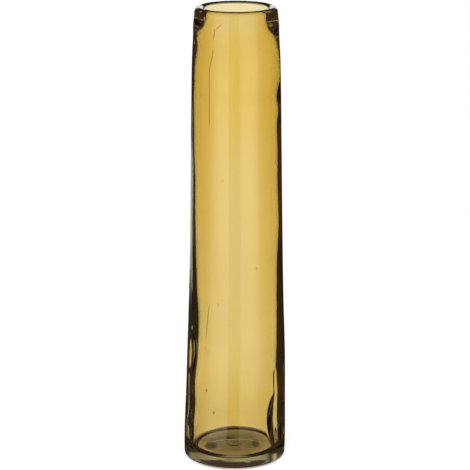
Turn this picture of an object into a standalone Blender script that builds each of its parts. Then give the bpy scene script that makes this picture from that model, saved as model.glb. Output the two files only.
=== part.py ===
"""A hand-blown glass bud vase: a heavy base, a tapering blown wall and a fire-polished lip.

Metres, +Z up. The origin is on the vase's axis, on the surface that it stands on.
"""

import math

import bmesh
import bpy

# Outside of the vase, from the surface that it stands on up to the lip
HEIGHT = 0.300
BASE_DIAMETER = 0.0668
BELLY_DIAMETER = 0.0636
BELLY_HEIGHT = 0.085
WAIST_DIAMETER = 0.0602
WAIST_HEIGHT = 0.150
NECK_DIAMETER = 0.0566
NECK_BELOW_TOP = 0.035
LIP_DIAMETER = 0.0530

# Thickness of the glass
BASE_THICKNESS = 0.0080
WALL_AT_FOOT = 0.0060
WALL_AT_BELLY = 0.0054
WALL_AT_WAIST = 0.0036
WALL_AT_NECK = 0.0025
WALL_UNDER_LIP = 0.0032
LIP_WIDTH = 0.0060
LIP_HEIGHT = 0.0160

# Round heel, and the shallow hollow pressed up into the underside inside the resting ring
HEEL_RADIUS = 0.0025
PUSH_UP_DIAMETER = 0.046
PUSH_UP_DEPTH = 0.0004

# Cove inside the foot of the wall, which ends in a short upright edge
COVE_RADIUS = 0.0035
COVE_EDGE = 0.0008

# Gap where two pieces of glass meet
SEAM_GAP = 0.0003

# Facets of the turned shapes
SIDES = 64
WALL_STEPS = 10
LIP_STEPS = 5
ARC_STEPS = 5
MERGE_DISTANCE = 0.000001
SMOOTH_ANGLE = math.radians(40)

# Heights that follow from the sizes above
BEAD_RADIUS = LIP_WIDTH / 2
BEAD_HEIGHT = HEIGHT - BEAD_RADIUS
LIP_FOOT = HEIGHT - LIP_HEIGHT
WALL_FOOT = BASE_THICKNESS + SEAM_GAP
WALL_TOP = LIP_FOOT - SEAM_GAP
NECK_HEIGHT = HEIGHT - NECK_BELOW_TOP

# Stations that the outside and the wall's thickness run through, as (height, size)
OUTSIDE = [
    (HEEL_RADIUS, BASE_DIAMETER / 2),
    (BELLY_HEIGHT, BELLY_DIAMETER / 2),
    (WAIST_HEIGHT, WAIST_DIAMETER / 2),
    (NECK_HEIGHT, NECK_DIAMETER / 2),
    (BEAD_HEIGHT, LIP_DIAMETER / 2),
]
THICKNESS = [
    (BASE_THICKNESS, WALL_AT_FOOT),
    (BELLY_HEIGHT, WALL_AT_BELLY),
    (WAIST_HEIGHT, WALL_AT_WAIST),
    (NECK_HEIGHT, WALL_AT_NECK),
    (LIP_FOOT, WALL_UNDER_LIP),
]


def between(low, high, steps):
    """Evenly spaced values from low to high, both included."""
    return [low + (high - low) * step / steps for step in range(steps + 1)]


def smooth_curve(stations, height):
    """Read a smooth curve through (height, size) stations, given lowest first."""
    pairs = list(zip(stations, stations[1:]))
    secants = [(b[1] - a[1]) / (b[0] - a[0]) for a, b in pairs]
    middles = [(a + b) / 2 for a, b in zip(secants, secants[1:])]
    slopes = [secants[0], *middles, secants[-1]]
    index = 0
    while index < len(pairs) - 1 and height > stations[index + 1][0]:
        index += 1
    (low, start), (high, end) = pairs[index]
    span = high - low
    t = (height - low) / span
    bend_in = slopes[index] * span * t * (1 - t) ** 2
    bend_out = slopes[index + 1] * span * t ** 2 * (t - 1)
    ease = t * t * (3 - 2 * t)
    return start + (end - start) * ease + bend_in + bend_out


def outer_radius(height):
    return smooth_curve(OUTSIDE, height)


def bore_radius(height):
    return outer_radius(height) - smooth_curve(THICKNESS, height)


def arc(centre, radius, start, end, steps):
    """Points (radius, height) of an arc; angles in degrees, 0 outwards and 90 up."""
    angles = [math.radians(angle) for angle in between(start, end, steps)]
    return [(centre[0] + radius * math.cos(a), centre[1] + radius * math.sin(a)) for a in angles]


def glass(name, colour, roughness):
    """Clear glass with a body colour."""
    material = bpy.data.materials.new(name)
    material.use_nodes = True
    shader = material.node_tree.nodes["Principled BSDF"]
    shader.inputs["Base Color"].default_value = (*colour, 1)
    shader.inputs["Roughness"].default_value = roughness
    shader.inputs["Metallic"].default_value = 0
    shader.inputs["IOR"].default_value = 1.5
    shader.inputs["Transmission Weight"].default_value = 1
    return material


def turn(name, outline, closed, foot, material, parent):
    """Spin an outline of (radius, height) points about the axis; the object stands at its foot."""
    shape = bmesh.new()
    points = [shape.verts.new((radius, 0, height - foot)) for radius, height in outline]
    ends = zip(points, points[1:] + points[:1]) if closed else zip(points, points[1:])
    lines = [shape.edges.new(pair) for pair in ends]
    bmesh.ops.spin(
        shape, geom=points + lines, cent=(0, 0, 0), axis=(0, 0, 1), angle=2 * math.pi, steps=SIDES,
    )
    bmesh.ops.remove_doubles(shape, verts=shape.verts, dist=MERGE_DISTANCE)
    bmesh.ops.recalc_face_normals(shape, faces=shape.faces)
    mesh = bpy.data.meshes.new(name)
    shape.to_mesh(mesh)
    shape.free()
    mesh.shade_smooth()
    mesh.set_sharp_from_angle(angle=SMOOTH_ANGLE)
    mesh.materials.append(material)
    piece = bpy.data.objects.new(name, mesh)
    piece.parent = parent
    piece.location.z = foot
    bpy.context.scene.collection.objects.link(piece)
    return piece


def heavy_base(parent):
    """Thick disc of glass with a round heel; its top is the vase's floor and the wall's seat."""
    push_up_radius = PUSH_UP_DIAMETER / 2
    radii = between(0, push_up_radius, ARC_STEPS)
    underside = [(r, PUSH_UP_DEPTH * (1 - (r / push_up_radius) ** 2)) for r in radii]
    heel_centre = (BASE_DIAMETER / 2 - HEEL_RADIUS, HEEL_RADIUS)
    heel = arc(heel_centre, HEEL_RADIUS, -90, 0, ARC_STEPS)
    top = [(outer_radius(BASE_THICKNESS), BASE_THICKNESS), (0, BASE_THICKNESS)]
    colour = glass("clear base glass", (0.72, 0.66, 0.44), 0.03)
    return turn("heavy_base", underside + heel + top, False, 0, colour, parent)


def blown_wall(parent):
    """Tapering tube, thick at the foot and thin at the neck, with a cove inside its foot."""
    outside = [(outer_radius(z), z) for z in between(WALL_FOOT, WALL_TOP, WALL_STEPS)]
    cove_top = WALL_FOOT + COVE_EDGE + COVE_RADIUS
    bore = [(bore_radius(z), z) for z in between(WALL_TOP, cove_top, WALL_STEPS)]
    cove_centre = (bore_radius(cove_top) - COVE_RADIUS, cove_top)
    cove = arc(cove_centre, COVE_RADIUS, 0, -90, ARC_STEPS)[1:]
    edge = [(cove_centre[0], WALL_FOOT)]
    colour = glass("amber wall glass", (0.84, 0.61, 0.21), 0.03)
    return turn("blown_wall", outside + bore + cove + edge, True, WALL_FOOT, colour, parent)


def fire_polished_lip(parent):
    """Thickened top of the wall, drawn in a little and melted round."""
    heights = between(LIP_FOOT, BEAD_HEIGHT, LIP_STEPS)
    outside = [(outer_radius(z), z) for z in heights]
    bead_centre = (LIP_DIAMETER / 2 - BEAD_RADIUS, BEAD_HEIGHT)
    bead = arc(bead_centre, BEAD_RADIUS, 0, 180, 2 * ARC_STEPS)[1:-1]
    swell = LIP_WIDTH - WALL_UNDER_LIP
    inside = []
    for z in reversed(heights):
        rise = (z - LIP_FOOT) / (BEAD_HEIGHT - LIP_FOOT)
        width = WALL_UNDER_LIP + swell * rise * rise * (3 - 2 * rise)
        inside.append((outer_radius(z) - width, z))
    colour = glass("amber lip glass", (0.80, 0.55, 0.18), 0.02)
    return turn("fire_polished_lip", outside + bead + inside, True, LIP_FOOT, colour, parent)


def main():
    for old in list(bpy.data.objects):
        bpy.data.objects.remove(old)
    vase = bpy.data.objects.new("bud_vase", None)
    bpy.context.scene.collection.objects.link(vase)
    for make in (heavy_base, blown_wall, fire_polished_lip):
        make(vase)


main()
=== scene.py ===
# %% [markdown]
# # A hand-blown amber glass bud vase
#
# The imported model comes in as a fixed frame: a heavy base, a blown wall and a fire-polished lip.
# On the real vase these are one piece of glass, so this lesson grows one continuous vessel over
# them, with the uneven wall that blowing leaves. Then it gives the vessel an amber glass, and lights
# it the way glass is lit in a studio: bright behind it, and dark where the glass acts as a mirror.

# %% Load the frame and keep its box
import math
from collections import namedtuple

import bpy
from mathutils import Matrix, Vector


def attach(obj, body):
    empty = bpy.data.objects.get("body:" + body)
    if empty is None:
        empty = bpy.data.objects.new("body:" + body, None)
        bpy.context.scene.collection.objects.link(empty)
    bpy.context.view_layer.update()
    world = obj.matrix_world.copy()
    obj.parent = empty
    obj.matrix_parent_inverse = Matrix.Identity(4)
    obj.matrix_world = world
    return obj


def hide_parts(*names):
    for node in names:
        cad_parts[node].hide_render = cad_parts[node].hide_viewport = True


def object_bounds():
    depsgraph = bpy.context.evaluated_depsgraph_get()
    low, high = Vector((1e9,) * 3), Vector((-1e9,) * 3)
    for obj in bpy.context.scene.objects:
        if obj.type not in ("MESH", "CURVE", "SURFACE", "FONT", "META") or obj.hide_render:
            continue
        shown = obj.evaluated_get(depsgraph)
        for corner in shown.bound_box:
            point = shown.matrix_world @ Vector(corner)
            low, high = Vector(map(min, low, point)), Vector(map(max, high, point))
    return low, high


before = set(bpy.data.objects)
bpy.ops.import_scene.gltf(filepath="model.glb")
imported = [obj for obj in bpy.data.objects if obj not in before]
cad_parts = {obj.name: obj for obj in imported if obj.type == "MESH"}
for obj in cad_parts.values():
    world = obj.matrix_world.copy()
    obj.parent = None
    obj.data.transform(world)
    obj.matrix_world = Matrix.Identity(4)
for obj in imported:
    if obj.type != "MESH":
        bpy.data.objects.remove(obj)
cad_low, cad_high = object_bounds()
print("nodes:", sorted(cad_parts), "height:", round(cad_high.z - cad_low.z, 4))

# %% [markdown]
# ## The camera
#
# The vase fills the photograph from top to bottom. Its mouth is seen from about 9 degrees above
# and its foot from about 20 degrees, and that difference alone says how far away the camera was:
# about four and a half heights of the vase. A long lens from there gives the same gentle taper.

# %% Stand the camera where the photograph was taken
PHOTO_SIDE_PX = 470
FOCAL_LENGTH_PX = 2194
CAMERA_DISTANCE = 1.380
CAMERA_HEIGHT = 0.5097
CAMERA_PITCH = math.radians(14.60)
SENSOR_MM = 36

camera_data = bpy.data.cameras.new("photo_camera")
camera_data.sensor_width = SENSOR_MM
camera_data.lens = FOCAL_LENGTH_PX / PHOTO_SIDE_PX * SENSOR_MM
camera = bpy.data.objects.new("photo_camera", camera_data)
camera.location = (0, -CAMERA_DISTANCE, CAMERA_HEIGHT)
camera.rotation_euler = (math.pi / 2 - CAMERA_PITCH, 0, 0)
bpy.context.scene.collection.objects.link(camera)
bpy.context.scene.camera = camera
print("lens:", round(camera_data.lens, 1), "mm")

# %% [markdown]
# ## The outside of the vessel
#
# Blown glass is a turned shape that was never quite finished turning. The outside is a slow taper
# with a soft belly, a narrow neck and a lip that is drawn in, and the whole vase leans by about a
# millimetre. Each of these is a smooth curve through a few stations, so one number moves one place.

# %% Sizes of the outside in millimetres, as (height, radius) and (height, lean to the right)
MM = 0.001
HEIGHT = cad_high.z - cad_low.z
FOOT_RADIUS = (cad_high.x - cad_low.x) / 2
TOP_MM = HEIGHT / MM
FOOT_MM = FOOT_RADIUS / MM


def in_mm(pairs):
    """Turn pairs of millimetres into metres."""
    return [(first * MM, second * MM) for first, second in pairs]


OUTSIDE = in_mm([
    (0, FOOT_MM), (14, FOOT_MM + 0.3), (45, 32.8), (67, 32.5), (88, 31.8), (110, 31.0), (150, 30.2),
    (190, 29.6), (230, 29.0), (265, 28.4), (282, 27.5), (289, 27.4), (TOP_MM, 26.4),
])
LEAN = in_mm([(0, -0.3), (20, -0.1), (60, 0.65), (100, 0.8), (240, 0.8), (TOP_MM, 0.7)])


def smooth_curve(stations, height):
    """Read a smooth curve through (height, size) stations, given lowest first."""
    pairs = list(zip(stations, stations[1:]))
    secants = [(b[1] - a[1]) / (b[0] - a[0]) for a, b in pairs]
    slopes = [secants[0], *((a + b) / 2 for a, b in zip(secants, secants[1:])), secants[-1]]
    index = 0
    while index < len(pairs) - 1 and height > stations[index + 1][0]:
        index += 1
    (low, start), (high, end) = pairs[index]
    t = (height - low) / (high - low)
    bend = slopes[index] * t * (1 - t) ** 2 + slopes[index + 1] * t ** 2 * (t - 1)
    return start + (end - start) * t * t * (3 - 2 * t) + bend * (high - low)


def outer_radius(height):
    return smooth_curve(OUTSIDE, height)


print("radius half way up:", round(outer_radius(HEIGHT / 2) / MM, 2), "mm")

# %% [markdown]
# ## The bore
#
# The thickness of the glass is what shows in the end: where the sight line grazes the bore, the
# glass mirrors the dark room, so each side of the vase wears a dark band about as wide as its wall.
# The photograph gives that width on the left and on the right, and they differ, because no gather of
# glass hangs quite straight on the iron. So the bore is a round that slides to one side as it rises.

# %% Thickness of the wall on the left and on the right in millimetres, as (height, thickness)
LEFT_WALL = in_mm([
    (8, 5.9), (20, 6.2), (33, 6.25), (47, 5.8), (60, 6.3), (70, 6.6), (80, 6.65), (94, 6.1),
    (108, 5.1), (121, 4.4), (148, 3.4), (182, 2.85), (202, 2.4), (223, 1.95), (243, 1.6),
    (257, 1.65), (263, 1.8), (270, 2.5), (275, 2.95), (281, 2.6), (286, 3.5), (292, 4.95),
    (TOP_MM, 5.9),
])
RIGHT_WALL = in_mm([
    (8, 6.3), (30, 6.0), (43, 5.5), (60, 6.2), (74, 5.5), (87, 5.1), (101, 4.65), (121, 3.95),
    (135, 3.25), (148, 2.65), (182, 2.7), (202, 2.7), (212, 2.5), (223, 2.55), (234, 1.95),
    (242, 2.2), (248, 0.8), (257, 0.6), (263, 0.7), (270, 1.1), (277, 1.9), (281, 2.6), (286, 3.9),
    (292, 5.6), (TOP_MM, 6.1),
])
Ring = namedtuple("Ring", "radius across height")


def outer_ring(height):
    return Ring(outer_radius(height), smooth_curve(LEAN, height), height)


def bore_ring(height):
    """A ring of the bore, slid towards the thinner side of the wall."""
    left = smooth_curve(LEFT_WALL, height)
    right = smooth_curve(RIGHT_WALL, height)
    radius = outer_radius(height) - (left + right) / 2
    across = smooth_curve(LEAN, height) + (left - right) / 2
    return Ring(radius, across, height)


print("bore half way up:", [round(size / MM, 2) for size in bore_ring(HEIGHT / 2)])

# %% [markdown]
# ## The base and the lip
#
# The base is a thick disc with a round heel. Its underside is pushed up a little, so that only a ring
# touches the table. Inside, the wall runs into the floor in a round corner, the cove. The soft floor
# set askew: it slopes down to the front and sits towards the back, so the cove is broad at the front
# and tight at the back. The middle of the floor keeps a small swirl. The lip was melted in the flame,
# so it is a full round bead.

# %% Sizes of the base and the lip
FLOOR_HEIGHT = 7.2 * MM
FLOOR_TILT = math.radians(2.7)
FLOOR_BACK = 2 * MM
SWIRL = in_mm([(9, 0.0), (7, 0.0), (5.5, -0.05), (4, 0.08), (2.5, -0.03)])
COVE_HEIGHT = 5.5 * MM
COVE_WIDTH = 3 * MM
COVE_STEPS = 8
HEEL_RADIUS = 3.0 * MM
HEEL_START_DEG = -80
HEEL_STEPS = 4
LIP_RADIUS = 3.0 * MM
LIP_STEPS = 8
PUSH_UP_RADIUS = 23 * MM
PUSH_UP_DEPTH = 0.2 * MM
RESTING_RADII = (PUSH_UP_RADIUS, 26 * MM, 28.5 * MM)
RING_STEP = 3 * MM


def between(start, end, steps):
    """Evenly spaced values from start to end, both included."""
    return [start + (end - start) * step / steps for step in range(steps + 1)]


def arc(centre, radius, start, end, steps):
    """Points (radius, height) of an arc; angles in degrees, 0 outwards and 90 up."""
    angles = [math.radians(angle) for angle in between(start, end, steps)]
    return [(centre[0] + radius * math.cos(a), centre[1] + radius * math.sin(a)) for a in angles]


def level_rings(points, across):
    """Rings at (radius, height) points, all at one place across."""
    return [Ring(radius, across, height) for radius, height in points]


print("floor at", FLOOR_HEIGHT / MM, "mm, tilted by", round(math.degrees(FLOOR_TILT), 1), "degrees")

# %% Line up the rings of the outside, from the middle of the underside to the lip
PUSH_UP_RINGS = 7
WALL_FOOT = 8 * MM
WALL_STEPS = 16
NECK_FOOT = 264 * MM
NECK_TOP = 270 * MM
NECK_STEPS = 8
LIP_MARGIN = 1.5 * MM

push_up_radii = [step * RING_STEP for step in range(1, PUSH_UP_RINGS + 1)]
push_up = [(radius, PUSH_UP_DEPTH * (1 - (radius / PUSH_UP_RADIUS) ** 2)) for radius in push_up_radii]
resting = [(radius, 0.0) for radius in RESTING_RADII]
heel_centre = (FOOT_RADIUS - HEEL_RADIUS, HEEL_RADIUS)
heel = arc(heel_centre, HEEL_RADIUS, HEEL_START_DEG, 0, HEEL_STEPS)
rings = level_rings(push_up + resting + heel, smooth_curve(LEAN, 0))

lip_height = HEIGHT - LIP_RADIUS
lip_start = lip_height - LIP_MARGIN
wall_heights = between(WALL_FOOT, NECK_FOOT, WALL_STEPS) + between(NECK_TOP, lip_start, NECK_STEPS)
rings += [outer_ring(height) for height in wall_heights]
lip_centre = (outer_radius(lip_height) - LIP_RADIUS, lip_height)
rings += level_rings(arc(lip_centre, LIP_RADIUS, 0, 180, LIP_STEPS), smooth_curve(LEAN, lip_height))
print("rings outside:", len(rings))

# %% Go on down the bore, round the cove and in to the middle of the floor
BORE_NECK = 266 * MM
BORE_NECK_STEPS = 10
BORE_BELOW_NECK = 262 * MM
BORE_STEPS = 43
COVE_MARGIN = 3 * MM
FLOOR_STEPS = (7, 6, 5, 4)

cove_top = FLOOR_HEIGHT + COVE_HEIGHT
neck_heights = between(lip_start, BORE_NECK, BORE_NECK_STEPS)
bore_heights = between(BORE_BELOW_NECK, cove_top + COVE_MARGIN, BORE_STEPS)
rings += [bore_ring(height) for height in neck_heights + bore_heights]
cove_start = bore_ring(cove_top)
cove_points = [
    (cove_start.radius - COVE_WIDTH * (1 - out), cove_top - COVE_HEIGHT * down)
    for out, down in arc((0, 0), 1, 0, 90, COVE_STEPS)[1:]
]
cove_rings = level_rings(cove_points, cove_start.across)
floor_points = [(step * RING_STEP, FLOOR_HEIGHT) for step in FLOOR_STEPS]
swirl_points = [(radius, FLOOR_HEIGHT + rise) for radius, rise in SWIRL]
rings += [cove_start] + cove_rings + level_rings(floor_points + swirl_points, cove_start.across)
print("rings in all:", len(rings))

# %% [markdown]
# ## Growing the vessel
#
# A vase could be spun from its outline in one step. Here it grows ring by ring instead, as it does
# on the blowing iron: a circle is extruded to the next height, drawn in or out, and slid to one side.
# At the cove the ring is turned by the floor's tilt, and each step round the cove slides it back.
# Subdivision then melts the steps away, as the flame does.

# %% Grow the vessel ring by ring
SIDES = 48


def start_ring(ring):
    bpy.ops.object.select_all(action="DESELECT")
    bpy.ops.mesh.primitive_circle_add(vertices=SIDES, radius=ring.radius, fill_type="NOTHING")
    bpy.ops.object.mode_set(mode="EDIT")
    bpy.ops.mesh.select_all(action="SELECT")
    bpy.ops.transform.translate(value=(ring.across, 0, ring.height))


def next_ring(before, after):
    step = (after.across - before.across, 0, after.height - before.height)
    bpy.ops.mesh.extrude_edges_move(TRANSFORM_OT_translate={"value": step})
    grow = after.radius / before.radius
    bpy.ops.transform.resize(value=(grow, grow, grow))


start_ring(rings[0])
bpy.ops.mesh.edge_face_add()
for before, after in zip(rings, rings[1:]):
    next_ring(before, after)
    if after in cove_rings:
        bpy.ops.transform.translate(value=(0, FLOOR_BACK / COVE_STEPS, 0))
    if after is cove_start:
        bpy.ops.transform.rotate(
            value=-FLOOR_TILT, orient_axis="X", center_override=(after.across, 0, after.height),
        )
bpy.ops.mesh.edge_face_add()
bpy.ops.mesh.select_all(action="SELECT")
bpy.ops.mesh.normals_make_consistent(inside=False)
bpy.ops.object.mode_set(mode="OBJECT")
vessel = bpy.context.active_object
vessel.name = "glass_vessel"
print("vessel before smoothing:", len(vessel.data.polygons), "faces")

# %% Melt it smooth
def melt(levels):
    smooth = vessel.modifiers.new("melted smooth", "SUBSURF")
    smooth.levels = levels
    smooth.render_levels = levels
    bpy.ops.object.modifier_apply(modifier=smooth.name)


melt(1)
print("vessel after one melting:", len(vessel.data.polygons), "faces")

# %% [markdown]
# ## Waves in the glass
#
# The outside was rolled smooth on a steel plate, but nothing ever touched the inside, so the bore
# and the floor keep slow waves, and the underside keeps the print of the bench that it cooled on. A
# Displace modifier with a cloud texture makes them. A vertex group says where it works, so that the
# outside and the lip stay smooth.

# %% Ripple the inside and the underside
RIPPLE_DEPTH = 0.16 * MM
RIPPLE_SIZE = 18 * MM
RIPPLE_TOP = 285 * MM
RIPPLE_FADE = 20 * MM
PRINT_DEPTH = 0.03 * MM
PRINT_SIZE = 6 * MM
PRINT_RADIUS = 29 * MM
PRINT_HEIGHT = PUSH_UP_DEPTH + 0.1 * MM
SKIN = 0.9 * MM


def inside_share(point):
    """1 on the bore and the floor, 0 on the outside, fading out under the lip."""
    off_skin = math.hypot(point.x, point.y) < outer_radius(point.z) - SKIN
    is_inside = off_skin and point.z > FLOOR_HEIGHT / 2
    return is_inside * min(1, max(0, (RIPPLE_TOP - point.z) / RIPPLE_FADE))


def underside_share(point):
    return float(point.z < PRINT_HEIGHT and math.hypot(point.x, point.y) < PRINT_RADIUS)


def ripple(name, share, size, depth):
    group = vessel.vertex_groups.new(name=name)
    for vertex in vessel.data.vertices:
        group.add([vertex.index], share(vertex.co), "REPLACE")
    clouds = bpy.data.textures.new(name, "CLOUDS")
    clouds.noise_scale = size
    clouds.noise_depth = 1
    waves = vessel.modifiers.new(name, "DISPLACE")
    waves.texture = clouds
    waves.vertex_group = name
    waves.strength = depth
    bpy.ops.object.modifier_apply(modifier=name)
    vessel.vertex_groups.clear()


ripple("waves_inside", inside_share, RIPPLE_SIZE, RIPPLE_DEPTH)
ripple("bench_print", underside_share, PRINT_SIZE, PRINT_DEPTH)
print("waves:", RIPPLE_DEPTH / MM, "mm inside,", PRINT_DEPTH / MM, "mm underneath")

# %% [markdown]
# ## Dents
#
# The bench left slight dents in the soft underside. By hand each one is a pull with proportional
# editing, where the pulled vertex takes its neighbours with it, less the further they are. The
# connected option keeps the pull on the underside, and off the floor above it.

# %% Dent the underside, with each dent as (right, back, depth, reach) in millimetres
BENCH_DENTS = [(-15, -3, 0.03, 12), (14, -3, 0.03, 9), (4, -14, 0.03, 7), (-3, 14, 0.03, 7)]


def push(place, way, reach):
    bpy.ops.object.mode_set(mode="EDIT")
    bpy.ops.mesh.select_all(action="DESELECT")
    bpy.ops.object.mode_set(mode="OBJECT")
    nearest = min(vessel.data.vertices, key=lambda vertex: (vertex.co - place).length)
    nearest.select = True
    bpy.ops.object.mode_set(mode="EDIT")
    bpy.ops.transform.translate(
        value=way, use_proportional_edit=True, use_proportional_connected=True,
        proportional_edit_falloff="SMOOTH", proportional_size=reach,
    )
    bpy.ops.object.mode_set(mode="OBJECT")


for right_mm, back_mm, depth_mm, reach_mm in BENCH_DENTS:
    push(Vector((right_mm * MM, back_mm * MM, 0)), (0, 0, depth_mm * MM), reach_mm * MM)
print("dents underneath:", len(BENCH_DENTS))

# %% [markdown]
# ## Seeds
#
# Seeds are small bubbles that the melt never let go, drawn out a little along the wall. Each one is
# a sphere added inside the wall and stretched. Its faces are turned round, because here the air is
# inside.

# %% Leave seeds in the wall, each as (height in mm, turn in degrees, radius in mm)
SEEDS = [
    (202, 60, 0.45), (80, -42, 0.35), (78, -38, 0.35), (52, -38, 0.6), (38, -27, 0.65),
    (120, 150, 0.5), (240, -120, 0.45), (64, 112, 0.6), (180, 200, 0.4), (95, -150, 0.5),
]
SEED_STRETCH = 1.6


def on_ring(ring, turn_deg):
    """A point of a ring; the turn is 0 at the front and 90 degrees at the right."""
    turn = math.radians(turn_deg)
    x = ring.across + ring.radius * math.sin(turn)
    return Vector((x, -ring.radius * math.cos(turn), ring.height))


def in_wall(height, turn_deg):
    """Half way between the outside and the bore."""
    return (on_ring(outer_ring(height), turn_deg) + on_ring(bore_ring(height), turn_deg)) / 2


def leave_seed(place, radius):
    bpy.ops.mesh.primitive_uv_sphere_add(segments=8, ring_count=6, radius=radius, location=place)
    bpy.ops.transform.resize(value=(1, 1, SEED_STRETCH), center_override=place)
    bpy.ops.mesh.flip_normals()


bpy.ops.object.mode_set(mode="EDIT")
for height_mm, turn_deg, radius_mm in SEEDS:
    leave_seed(in_wall(height_mm * MM, turn_deg), radius_mm * MM)
bpy.ops.object.mode_set(mode="OBJECT")
melt(1)
print("seeds:", len(SEEDS), "vessel:", len(vessel.data.polygons), "faces")

# %% [markdown]
# ## Lumps with a broad side and a steep back
#
# Low on the right the bore swelled in the shape of a leaf, and smaller lumps sit on the left and at
# the foot. Seen from the front, the broad side of a lump leans so far that it turns into a mirror,
# and only its back lets light through. A vertex group works like a map painted on the surface, here
# painted by a formula, and Displace raises what it covers.

# %% Sizes of the lumps on the bore, as degrees from the front and millimetres
LEAF = {
    "side": 1, "crest": 58.7, "width": 15.5, "back": 3.2, "middle": 31.5, "above": 15, "below": 22,
    "sway": 6, "rib": 2.0, "rib_top": 62, "depth": 1.1,
}
EAR = {
    "side": -1, "crest": 75, "width": 12, "back": 9, "middle": 73, "above": 13, "below": 14,
    "sway": 0, "rib": 0, "rib_top": 0, "depth": 0.8,
}
LEFT_FOOT = {
    "side": -1, "crest": 70, "width": 6, "back": 11, "middle": 17, "above": 10, "below": 10,
    "sway": 0, "rib": 0, "rib_top": 0, "depth": 0.6,
}
RIGHT_FOOT = {
    "side": 1, "crest": 79, "width": 8, "back": 10, "middle": 17, "above": 10, "below": 10,
    "sway": 0, "rib": 0, "rib_top": 0, "depth": 0.7,
}
LUMPS = (LEAF, EAR, LEFT_FOOT, RIGHT_FOOT)
print("lumps:", len(LUMPS), "with the leaf", LEAF["depth"], "mm deep")

# %% Raise the lumps
ROUNDNESS = 1.7
LUMP_SKIN = 2 * MM
LUMP_FADE_START = cove_top - 2 * MM
LUMP_FADE = 4 * MM


def lump_share(point, lump):
    """0 off the lump, rising slowly over its broad side to the crest, and falling fast behind it."""
    over_cove = min(1, max(0, (point.z - LUMP_FADE_START) / LUMP_FADE))
    if not over_cove or math.hypot(point.x, point.y) > outer_radius(point.z) - LUMP_SKIN:
        return 0.0
    over = point.z / MM - lump["middle"]
    up = over / (lump["above"] if over > 0 else lump["below"])
    rib = lump["rib"] if point.z / MM < lump["rib_top"] else 0
    width = max(rib, lump["width"] * math.sqrt(max(0, 1 - up * up)))
    if width == 0:
        return 0.0
    aside = lump["side"] * (point.x - bore_ring(point.z).across)
    past = math.degrees(math.atan2(aside, -point.y)) - lump["crest"] - lump["sway"] * max(0, -up) ** 2
    off_crest = min(1, -past / width if past < 0 else past / lump["back"])
    return over_cove * (1 - off_crest ** ROUNDNESS) * width / lump["width"]


def raise_lump(share, lump):
    lump_map = vessel.vertex_groups.new(name="lump")
    for vertex in vessel.data.vertices:
        lump_map.add([vertex.index], share(vertex.co, lump), "REPLACE")
    lift = vessel.modifiers.new("lump", "DISPLACE")
    lift.vertex_group = "lump"
    lift.mid_level = 0
    lift.strength = lump["depth"] * MM
    bpy.ops.object.modifier_apply(modifier="lump")
    vessel.vertex_groups.clear()


for lump in LUMPS:
    raise_lump(lump_share, lump)
print("raised on", vessel.name, "with", len(vessel.data.vertices), "points")

# %% [markdown]
# ## Thick places under the lip
#
# Under the lip the wall swelled inwards on both sides, and there the dark bands are at their widest.
# These lumps are round and broad, so their map is a soft hill. On the right the wall thickens slowly
# by itself, so the hill there is the lower one, and it sits further to the front.

# %% Swell the wall under the lip, with angles in degrees from the front and sizes in millimetres
RIGHT_SWELL = {"crest": 70, "wide": 36, "middle": 293, "above": 7, "below": 11, "depth": 0.7}
LEFT_SWELL = {"crest": -84, "wide": 50, "middle": 294.5, "above": 6, "below": 9, "depth": 1.1}
SWELL_SKIN = 1.5 * MM


def hill(off):
    """1 in the middle, and 0 from 1 outwards."""
    return math.cos(math.pi / 2 * min(1, abs(off))) ** 2


def swell_share(point, lump):
    if math.hypot(point.x, point.y) > outer_radius(point.z) - SWELL_SKIN:
        return 0.0
    over = point.z / MM - lump["middle"]
    reach = lump["above"] if over > 0 else lump["below"]
    turn = math.degrees(math.atan2(point.x, -point.y))
    return hill(over / reach) * hill((turn - lump["crest"]) / lump["wide"])


for lump in (RIGHT_SWELL, LEFT_SWELL):
    raise_lump(swell_share, lump)
bpy.ops.object.shade_smooth()
print("swollen by", RIGHT_SWELL["depth"], "mm on the right and", LEFT_SWELL["depth"], "mm on the left")

# %% [markdown]
# ## Shader sums
#
# A small class lets node sockets take part in ordinary Python sums: every plus or times adds a Math
# node. Any other node comes from its one method node(). The Mix node has sockets of the same name for
# numbers, vectors and colours, so its colour sockets are given by their number.

# %% A wire that can be added and multiplied
MIX_FACTOR = 0
MIX_FIRST_COLOUR = 6
MIX_SECOND_COLOUR = 7
MIX_COLOUR_OUT = 2


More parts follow.
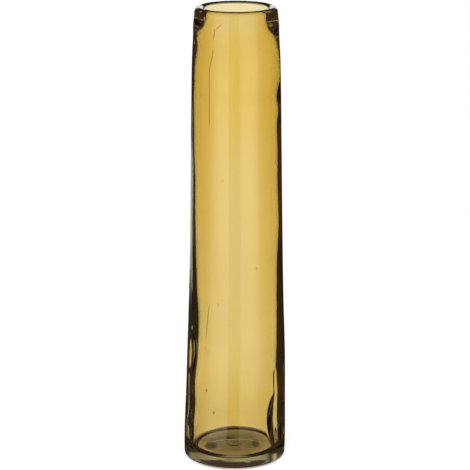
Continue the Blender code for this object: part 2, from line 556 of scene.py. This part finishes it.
class Wire:
    """An output socket; sums on it add Math nodes, and node() adds any other node."""

    def __init__(self, tree, socket=None):
        self.tree = tree
        self.socket = socket

    def node(self, kind, settings=None, sockets=None, out=0):
        """Add a node: its settings first, then the values or links of its sockets."""
        made = self.tree.nodes.new(kind)
        for name, value in (settings or {}).items():
            setattr(made, name, value)
        for name, value in (sockets or {}).items():
            if isinstance(value, Wire):
                self.tree.links.new(value.socket, made.inputs[name])
            else:
                made.inputs[name].default_value = value
        return Wire(self.tree, made.outputs[out])

    def math(self, operation, first, second=0.0):
        return self.node("ShaderNodeMath", {"operation": operation}, {0: first, 1: second})

    def __add__(self, other):
        return self.math("ADD", self, other)

    def __radd__(self, other):
        return self.math("ADD", other, self)

    def __sub__(self, other):
        return self.math("SUBTRACT", self, other)

    def __rsub__(self, other):
        return self.math("SUBTRACT", other, self)

    def __mul__(self, other):
        return self.math("MULTIPLY", self, other)

    def __rmul__(self, other):
        return self.math("MULTIPLY", other, self)

    def __gt__(self, other):
        return self.math("GREATER_THAN", self, other)

    def ease(self, low, high, kind="SMOOTHSTEP"):
        """0 at low, 1 at high, and a soft or straight step between."""
        limits = {"Value": self, "From Min": low, "From Max": high}
        return self.node("ShaderNodeMapRange", {"interpolation_type": kind}, limits)

    def band(self, low, full, last, high):
        """0 up to low, 1 from full to last, and 0 again from high on."""
        return self.ease(low, full) * (1 - self.ease(last, high))

    def mix(self, first, second):
        """Blend two colours, or colour wires, by this wire."""
        sockets = {MIX_FACTOR: self, MIX_FIRST_COLOUR: first, MIX_SECOND_COLOUR: second}
        return self.node("ShaderNodeMix", {"data_type": "RGBA"}, sockets, MIX_COLOUR_OUT)

    def xyz(self, axis):
        return self.node("ShaderNodeSeparateXYZ", sockets={"Vector": self}, out=axis)

    def feed(self, node, socket):
        self.tree.links.new(self.socket, node.inputs[socket])


print("wire ready")

# %% [markdown]
# ## The amber glass
#
# The colour of this vase does not deepen where the glass is thick, so it is a thin amber layer and
# not a stained mass: the colour belongs on the surface, where each crossing of light takes its share.
# A slanted crossing goes through more of the layer, so the sides of the vase are deeper than the
# front. Around the middle of the vase the layer is a little paler: a painted reflection of the table in
# front.

# %% Amber by height and by slant
AMBER = (0.923, 0.765, 0.345, 1)
PALE_AMBER = (0.923, 0.790, 0.445, 1)
SLANTED_HIGH = (0.863, 0.680, 0.255, 1)
SLANTED_LOW = (0.906, 0.752, 0.375, 1)
TABLE_REFLECTION_HEIGHTS = (20 * MM, 75 * MM, 185 * MM, 245 * MM)
PALE_LIP = (280 * MM, 292 * MM)
PALE_SHARE = 0.9
SLANT_HEIGHTS = (60 * MM, 240 * MM)
SLANT_FACING = (0.04, 0.22)
STREAK_SHARE = 0.5
STREAK_SCALE = (120, 120, 9)
STREAK_DETAIL = 3
NOISE_MIDDLE = 0.5

amber = bpy.data.materials.new("amber_glass")
amber.use_nodes = True
shader = amber.node_tree.nodes["Principled BSDF"]
glass = Wire(amber.node_tree)
place = glass.node("ShaderNodeTexCoord", out="Object")
aside = place.xyz("X")
ahead = place.xyz("Y")
height = place.xyz("Z")
stretched = glass.node("ShaderNodeMapping", sockets={"Vector": place, "Scale": STREAK_SCALE})
streak_noise = {"Vector": stretched, "Scale": 1.0, "Detail": STREAK_DETAIL}
streak = glass.node("ShaderNodeTexNoise", sockets=streak_noise)
# The paler middle band is a painted reflection of the table in front of the vase.
painted_table_reflection = height.band(*TABLE_REFLECTION_HEIGHTS)
at_lip = height.ease(*PALE_LIP)
paleness = painted_table_reflection * PALE_SHARE + at_lip * PALE_SHARE + (streak - NOISE_MIDDLE) * STREAK_SHARE
layer = paleness.mix(AMBER, PALE_AMBER)
slanted = height.ease(*SLANT_HEIGHTS, "LINEAR").mix(SLANTED_LOW, SLANTED_HIGH)
facing = glass.node("ShaderNodeLayerWeight", sockets={"Blend": 0.5}, out="Facing")
wall_colour = facing.ease(*SLANT_FACING).mix(layer, slanted)
print("amber from", AMBER[:3], "to", PALE_AMBER[:3])

# %% [markdown]
# ## A clearer base and lip
#
# The amber layer ends at the floor: the thick base below it is almost clear, with an olive cast. At
# the back of the lip the layer is thin as well. The floor is tilted, so the colour changes along the
# same tilted plane.

# %% Olive base and pale lip
BASE_OLIVE = (0.92, 0.79, 0.53, 1)
BASE_EDGE = (FLOOR_HEIGHT + 0.4 * MM, FLOOR_HEIGHT + 2.4 * MM)
LIP_AMBER = (0.925, 0.812, 0.45, 1)
LIP_HEIGHTS = (290 * MM, 295 * MM)
LIP_BACK = (-6 * MM, 8 * MM)

over_floor = height - math.tan(FLOOR_TILT) * ahead
in_base = 1 - over_floor.ease(*BASE_EDGE)
lip_back = height.ease(*LIP_HEIGHTS) * ahead.ease(*LIP_BACK)
lip_colour = lip_back.mix(wall_colour, LIP_AMBER)
body_colour = in_base.mix(lip_colour, BASE_OLIVE)
print("olive below", round(BASE_EDGE[0] / MM, 1), "mm")

# %% [markdown]
# ## Cords
#
# Cords are hairlines of a slightly different glass, drawn out as the vase was blown. They are far too
# fine to model, so each is a line drawn by a formula on the outside of the front, brown and slightly
# raised. It wanders across as it climbs.

# %% Draw the cords, each as (low, high, start across, end across) in millimetres
CORDS = [
    (226, 262, -16.2, -16.2), (260, 277, -16.2, -13.7), (281, 289, -13.5, -12.8),
    (287, 293, -12.8, -8.4), (88, 124, -18.4, -15.6),
]
CORD_BROWN = (0.25, 0.14, 0.03, 1)
CORD_HALF_WIDTH = 0.4 * MM
CORD_FADE_IN = 3 * MM
CORD_FADE_OUT = 1 * MM
SKIN_RADIUS = 32.9 * MM
SKIN_TAPER = 0.022

off_axis = glass.math("SQRT", aside * aside + ahead * ahead)
on_outside = (off_axis + SKIN_TAPER * height) > SKIN_RADIUS
at_front = glass.math("LESS_THAN", ahead, 0.0) * on_outside


def cord(low, high, start, end):
    middle_line = start + (end - start) * height.ease(low, high)
    off = glass.math("ABSOLUTE", aside - middle_line)
    along = height.band(low, low + CORD_FADE_IN, high - CORD_FADE_OUT, high)
    return (1 - off.ease(CORD_HALF_WIDTH / 4, CORD_HALF_WIDTH)) * along * at_front


cords = sum(cord(*(size * MM for size in sizes)) for sizes in CORDS)
corded = cords.mix(body_colour, CORD_BROWN)
print("cords:", len(CORDS))

# %% [markdown]
# ## Dark lines at the lip and the floor
#
# Where the bead of the lip and the corner of the floor turn sharply, they bend light away from the
# eye and show as dark lines. The smooth model shows only a part of those lines, so they are coloured
# in: one round the inside of the bead, one along its front, and one in the cove at the back.

# %% Darken the bead and the corner
BEAD_BROWN = (0.015, 0.006, 0.001, 1)
CORNER_BROWN = (0.12, 0.055, 0.015, 1)
FRONT_RAISE = 1.3 * MM
FRONT_EDGE = (-12 * MM, -2 * MM)
BEAD_HEIGHTS = (298.1 * MM, 299.0 * MM)
BEAD_RADII = (22.8 * MM, 24.4 * MM)
LINE_HEIGHTS = (299.0 * MM, 299.5 * MM)
LINE_EDGE = (-14 * MM, -4 * MM)
CORNER_RADII = (25.0 * MM, 25.6 * MM, 27.6 * MM, 28.2 * MM)
CORNER_OVER_FLOOR = (-1 * MM, -0.4 * MM, 0.8 * MM, 1.8 * MM)
CORNER_BACK = (-4 * MM, 10 * MM)

bead_height = height + FRONT_RAISE * (1 - ahead.ease(*FRONT_EDGE))
bead = bead_height.ease(*BEAD_HEIGHTS) * (1 - off_axis.ease(*BEAD_RADII))
front_line = height.ease(*LINE_HEIGHTS) * (1 - ahead.ease(*LINE_EDGE))
beaded = (bead + front_line).mix(corded, BEAD_BROWN)
corner_heights = [FLOOR_HEIGHT + over for over in CORNER_OVER_FLOOR]
corner = off_axis.band(*CORNER_RADII) * over_floor.band(*corner_heights) * ahead.ease(*CORNER_BACK)
cornered = corner.mix(beaded, CORNER_BROWN)
print("corner from", round(corner_heights[0] / MM, 1), "to", round(corner_heights[-1] / MM, 1), "mm")

# %% [markdown]
# ## Painted shade under the base
#
# Through the floor the photograph shows soft dark patches under the base, where the glass mirrors
# something dark. They are painted shade: blurred dark ovals on the underside, and then the colour is
# complete. A coat with a strong gloss, only on the top of the bead, gives the melted lip its bright
# edge.

# %% Paint shade under the base, each patch as (right, back, half width, half length) in millimetres and strength
SHADE_PATCHES = [((-16.2, 3, 5.5, 13), 1.0), ((14, 7, 3.4, 10), 0.9), ((0, 0, 5, 12), 0.4)]
PATCH_SHADE_OLIVE = (0.06, 0.05, 0.03, 1)
PATCH_SHADE_STRENGTH = 0.95
PATCH_BLUR = (0.5, 1.0)
PATCH_TOP = (1.5 * MM, 2.5 * MM)
COAT_HEIGHTS = (297.8 * MM, 299.2 * MM)
GLASS_IOR = 1.5
COAT_IOR = 2.2


# A patch of painted shade: a blurred dark oval on the underside, standing in for a dark reflection in
# the base.
def shade_patch(right, back, width, length):
    x_off = (aside - right) * (1 / width)
    y_off = (ahead - back) * (1 / length)
    off = glass.math("SQRT", x_off * x_off + y_off * y_off)
    return (1 - off.ease(*PATCH_BLUR)) * (1 - height.ease(*PATCH_TOP))


painted_shade = sum(strength * shade_patch(*(size * MM for size in sizes)) for sizes, strength in SHADE_PATCHES)
(PATCH_SHADE_STRENGTH * painted_shade).mix(cornered, PATCH_SHADE_OLIVE).feed(shader, "Base Color")
height.ease(*COAT_HEIGHTS).feed(shader, "Coat Weight")
shader.inputs["Coat IOR"].default_value = COAT_IOR
shader.inputs["IOR"].default_value = GLASS_IOR
shader.inputs["Transmission Weight"].default_value = 1
print("marks:", len(SHADE_PATCHES))

# %% [markdown]
# ## A fire-polished surface
#
# Glass that was touched only by fire and tools is nearly perfectly smooth. A faint change in the
# roughness is what handling leaves, and a bump lifts the cords. Then the vessel takes its glass and
# stands in for the three zones of the frame.

# %% Finish the glass and put it on the vessel
SMOOTHEST = 0.002
HANDLING = 0.01
HANDLING_SCALE = 60
CORD_RAISE = 0.1 * MM
CORD_BUMP = 0.4

handling_noise = {"Vector": place, "Scale": HANDLING_SCALE, "Detail": 2}
handled = glass.node("ShaderNodeTexNoise", sockets=handling_noise)
(SMOOTHEST + HANDLING * handled).feed(shader, "Roughness")
cord_bump = {"Height": cords, "Strength": CORD_BUMP, "Distance": CORD_RAISE}
raised = glass.node("ShaderNodeBump", sockets=cord_bump)
raised.feed(shader, "Normal")
vessel.data.materials.append(amber)
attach(vessel, "root")
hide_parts("heavy_base", "blown_wall", "fire_polished_lip")
print("glass on", vessel.name)

# %% [markdown]
# ## The studio
#
# Clear glass has no colour of its own to show: it shows the room. Light that comes straight through
# the vase comes from a white sweep behind it. Light that was mirrored on the way, on the outside or
# inside the wall, comes from a dark room with a few lit patches, and that gives the dark bands and
# the pale stripes. No real room is both at once, so this one is a stage trick: the Light Path node
# counts the mirrors and the crossings that a ray has met, and the world answers each kind of ray with
# its own picture. A direction is given as a turn, in degrees from the front or from the back, and as a
# rise, which is 0 at the horizon and 1 straight up.

# %% Tell the rays apart
DEG = math.radians(1)
AT_LEAST_ONE = 0.5
THROUGH_BOTH_WALLS = 3.5

world = bpy.data.worlds.new("studio")
bpy.context.scene.world = world
world.use_nodes = True
sky = Wire(world.node_tree)
direction = sky.node("ShaderNodeTexCoord", out="Generated")
sideways = direction.xyz("X")
onward = direction.xyz("Y")
rise = direction.xyz("Z")
turn_front = sky.math("ARCTAN2", sideways, 0 - onward)
turn_back = sky.math("ARCTAN2", sideways, onward)
off_back = sky.math("ABSOLUTE", turn_back)
crossings = sky.node("ShaderNodeLightPath", out="Transmission Depth")
inside = crossings > AT_LEAST_ONE
mirrored = sky.node("ShaderNodeLightPath", out="Glossy Depth") > AT_LEAST_ONE
print("world nodes so far:", len(world.node_tree.nodes))

# %% [markdown]
# ## The dark room and its lit patches
#
# Two soft boxes in front give the pale upright stripes, with a crisp edge towards the middle and a
# long fade outwards. Seen from inside the glass they are dimmer. A narrow line behind shows only
# inside the glass. On the skin of the vase, the backdrop shows in the lip, a bright patch along the
# left edge, and the front of the table in the heel.

# %% Light the soft boxes
RIGHT_BOX = (8 * DEG, 11 * DEG, 46 * DEG, 66 * DEG)
RIGHT_BOX_LEVEL = 1.1
LEFT_BOX = (18 * DEG, 21 * DEG, 42 * DEG, 80 * DEG)
LEFT_BOX_LEVEL = 1.5
TABLE_EDGE_RISE = (-0.335, -0.27)
BOX_TOP_RISE = (0.35, 0.5)
DIMMED_INSIDE = 0.6
DIMMED_RISE = (-0.15, 0)

right_box = RIGHT_BOX_LEVEL * turn_front.band(*RIGHT_BOX)
left_box = LEFT_BOX_LEVEL * (0 - turn_front).band(*LEFT_BOX)
above_table = rise.ease(*TABLE_EDGE_RISE)
below_top = 1 - rise.ease(*BOX_TOP_RISE)
dimmer_inside = 1 - inside * (DIMMED_INSIDE + (1 - DIMMED_INSIDE) * rise.ease(*DIMMED_RISE))
box_light = (right_box + left_box) * above_table * below_top * dimmer_inside
print("soft boxes from", round(RIGHT_BOX[0] / DEG), "degrees right,", round(LEFT_BOX[0] / DEG), "left")

# %% Light the line inside the glass and the patches on its skin
LINE_TURN = (-23 * DEG, -20 * DEG, -20 * DEG, -17 * DEG)
LINE_RISE = (-0.39, -0.375, -0.235, -0.215)
LINE_LEVEL = 0.9
BACKDROP_RISE = (-0.15, -0.13, 0.2, 0.32)
BACKDROP_EDGE = (14 * DEG, 24 * DEG)
LEFT_EDGE_TURN = (-42 * DEG, -36 * DEG, -2 * DEG, 0)
LEFT_EDGE_RISE = (-0.268, -0.255, -0.218, -0.2)
LEFT_EDGE_LEVEL = 0.9
TABLE_FRONT_RISE = (-0.8, -0.6, -0.42, -0.37)
TABLE_FRONT_LEVEL = 0.35
CEILING_RISE = (0, 0.2)
CEILING_LEVEL = 0.015

light_line = LINE_LEVEL * turn_back.band(*LINE_TURN) * rise.band(*LINE_RISE) * inside
backdrop = rise.band(*BACKDROP_RISE) * (1 - off_back.ease(*BACKDROP_EDGE))
left_edge = LEFT_EDGE_LEVEL * turn_back.band(*LEFT_EDGE_TURN) * rise.band(*LEFT_EDGE_RISE)
table_front = TABLE_FRONT_LEVEL * rise.band(*TABLE_FRONT_RISE)
skin_light = (backdrop + left_edge + table_front) * (1 - inside)
lights = box_light + CEILING_LEVEL * rise.ease(*CEILING_RISE) + light_line + skin_light
print("world nodes so far:", len(world.node_tree.nodes))

# %% [markdown]
# ## The light in the base
#
# Looking into the front of the base, the eye follows a ray that the underside mirrors up and out of
# the back. So the base is lit by a patch of light low behind the vase, by a small spark to the left
# of that patch, which the round glass shows on the right, and by a little light from under the foot.

# %% Light the base
WARM_LIGHT = (0.97, 0.98, 0.72, 1)
AMBER_LIGHT = (0.97, 0.86, 0.5, 1)
AMBER_TURN = (15 * DEG, 40 * DEG)
BEHIND_TURN = (-36 * DEG, -28 * DEG, 54 * DEG, 60 * DEG)
BEHIND_RISE = (0.27, 0.33, 0.347, 0.36)
BEHIND_LEVEL = 0.36
SIDES_DIMMED = 0.35
SIDES_TURN = (15 * DEG, 35 * DEG)
SPARK_TURN = (-51 * DEG, -43 * DEG, -43 * DEG, -35 * DEG)
SPARK_RISE = (0.2, 0.26, 0.338, 0.346)
SPARK_LEVEL = 0.5
UNDER_RISE = (-0.95, -0.8)
UNDER_WIDTH = (0.15, 0.4)
UNDER_LEVEL = 0.25

behind = BEHIND_LEVEL * turn_back.band(*BEHIND_TURN) * rise.band(*BEHIND_RISE)
behind = behind * (1 - SIDES_DIMMED * off_back.ease(*SIDES_TURN))
spark = SPARK_LEVEL * turn_back.band(*SPARK_TURN) * rise.band(*SPARK_RISE)
near_middle = 1 - sky.math("ABSOLUTE", sideways).ease(*UNDER_WIDTH)
under_foot = UNDER_LEVEL * (1 - rise.ease(*UNDER_RISE)) * near_middle
base_glow = (behind + under_foot + spark) * inside * mirrored
glow_colour = off_back.ease(*AMBER_TURN).mix(WARM_LIGHT, AMBER_LIGHT)
print("glow in the base from", WARM_LIGHT[:3], "to", AMBER_LIGHT[:3])

# %% [markdown]
# ## The white sweep
#
# The camera and the matt table see plain white. Glass sees the white sweep when it is looked straight
# through, also when the ray went through both walls and met a faint mirror on the way. All other
# mirrored rays see the dark room.

# %% Join the sweep and the dark room
DARK_ROOM = (0.042, 0.026, 0.017, 1)
DARK_UNDER = (0.026, 0.020, 0.012, 1)
DARKER_ABOVE = 0.9
DARKER_RISE = (0, 0.15)
WHITE = (1, 1, 1, 1)
SWEEP_TOP_RISE = (0.3, 0.5)
THROUGH_RISE = (-0.37, -0.34, -0.12, -0.05)
THROUGH_TURN = (40 * DEG, 60 * DEG)

is_camera = sky.node("ShaderNodeLightPath", out="Is Camera Ray")
is_diffuse = sky.node("ShaderNodeLightPath", out="Is Diffuse Ray")
sweep = 1 - rise.ease(*SWEEP_TOP_RISE)
right_through = (crossings > THROUGH_BOTH_WALLS) * rise.band(*THROUGH_RISE)
right_through = right_through * (1 - off_back.ease(*THROUGH_TURN))
in_the_dark = mirrored * (1 - right_through)
seen = in_the_dark * lights + (1 - in_the_dark) * sweep
level = is_camera + (1 - is_camera) * (is_diffuse + (1 - is_diffuse) * seen)
dark = (above_table * (1 - DARKER_ABOVE * rise.ease(*DARKER_RISE))).mix(DARK_UNDER, DARK_ROOM)
room = level.mix(dark, WHITE)
background = world.node_tree.nodes["Background"]
base_glow.mix(room, glow_colour).feed(background, "Color")
background.inputs["Strength"].default_value = 1
print("world:", len(world.node_tree.nodes), "nodes")

# %% [markdown]
# ## The table
#
# A pale table, white to the camera, on which the vase still throws its shadow. Light that comes
# straight through the glass sees it too, shaded under the vase and around its foot, and that shade is
# what the thick base shows. Mirrored light passes it, because the room has the mirrored pictures.

# %% The pale table
TABLE_SIZE = 8
TABLE_DROP = 0.2 * MM

bpy.ops.object.select_all(action="DESELECT")
bpy.ops.mesh.primitive_plane_add(size=TABLE_SIZE, location=(0, 0, -TABLE_DROP))
table = bpy.context.active_object
table.name = "table"
print("table:", TABLE_SIZE, "m wide")

# %% Shade the table under the vase and around its foot
FOOT_GREY = 0.06
VASE_GREY = 0.27
VASE_EDGE = (30 * MM, 34 * MM)
SIDE_GREY = 0.2
SIDE_REACH = (8 * MM, 24 * MM)
NEAR_GREY = 0.78
NEAR_REACH = (33 * MM, 52 * MM)
FAR_GREY = 0.16
FAR_REACH = (60 * MM, 250 * MM)

pale = bpy.data.materials.new("pale_table")
pale.use_nodes = True
pale.node_tree.nodes.clear()
top = Wire(pale.node_tree)
spot = top.node("ShaderNodeTexCoord", out="Object")
reach = top.node("ShaderNodeVectorMath", {"operation": "LENGTH"}, {0: spot}, out="Value")
off_middle = top.math("ABSOLUTE", spot.xyz("X")).ease(*SIDE_REACH)
under_vase = (VASE_GREY + SIDE_GREY * off_middle) * (1 - reach.ease(*VASE_EDGE))
around_foot = NEAR_GREY * reach.ease(*NEAR_REACH) + FAR_GREY * reach.ease(*FAR_REACH)
grey = FOOT_GREY + under_vase + around_foot
print("grey from", FOOT_GREY, "at the foot to", round(FOOT_GREY + NEAR_GREY + FAR_GREY, 2), "far off")

# %% Choose what each kind of ray sees of the table
MATT_PALE = (0.85, 0.85, 0.85, 1)
NEAR_WHITE = 0.8
WHITE_REACH = (0.3, 1.5)

is_seen = top.node("ShaderNodeLightPath", out="Is Camera Ray")
is_through = top.node("ShaderNodeLightPath", out="Is Transmission Ray")
is_mirrored = top.node("ShaderNodeLightPath", out="Glossy Depth") > AT_LEAST_ONE
shaded = top.node("ShaderNodeEmission", sockets={"Color": WHITE, "Strength": grey})
white = top.node("ShaderNodeEmission", sockets={"Color": WHITE, "Strength": 1.0})
matt = top.node("ShaderNodeBsdfDiffuse", sockets={"Color": MATT_PALE})
clear = top.node("ShaderNodeBsdfTransparent")
whiteness = is_seen * (NEAR_WHITE + (1 - NEAR_WHITE) * reach.ease(*WHITE_REACH))
lit = top.node("ShaderNodeMixShader", sockets={"Fac": whiteness, 1: matt, 2: white})
straight = top.node("ShaderNodeMixShader", sockets={"Fac": is_through, 1: lit, 2: shaded})
surface = top.node("ShaderNodeMixShader", sockets={"Fac": is_mirrored, 1: straight, 2: clear})
output = pale.node_tree.nodes.new("ShaderNodeOutputMaterial")
surface.feed(output, "Surface")
table.data.materials.append(pale)
print("table:", len(pale.node_tree.nodes), "nodes")

# %% [markdown]
# ## The lamp
#
# One soft lamp hangs in front, high up, so that the shadow falls behind the vase. It is hidden from
# mirrored and refracted rays, because the world already has all the lights that the glass shows.

# %% Hang a soft lamp
LAMP_SIZE = 0.9
LAMP_WATTS = 30
LAMP_FORWARD = 1.2
LAMP_HEIGHT = 1.6

lamp_data = bpy.data.lights.new("soft_key", "AREA")
lamp_data.size = LAMP_SIZE
lamp_data.energy = LAMP_WATTS
lamp = bpy.data.objects.new("soft_key", lamp_data)
lamp.location = (0, -LAMP_FORWARD, LAMP_HEIGHT)
lamp.rotation_euler = (math.atan2(LAMP_FORWARD, LAMP_HEIGHT), 0, 0)
lamp.visible_glossy = False
lamp.visible_transmission = False
bpy.context.scene.collection.objects.link(lamp)
print("lamp:", lamp_data.energy, "W")

# %% [markdown]
# ## View and bounces
#
# Standard keeps colours as they are written. Light crosses the glass many times, and a ray that runs
# out of bounces turns black, so there are more of them than by default.

# %% Set the view and the bounces
BOUNCES = 24
GLOSSY_BOUNCES = 16

scene = bpy.context.scene
scene.view_settings.view_transform = "Standard"
scene.cycles.max_bounces = BOUNCES
scene.cycles.transmission_bounces = BOUNCES
scene.cycles.glossy_bounces = GLOSSY_BOUNCES
print("view:", scene.view_settings.view_transform)
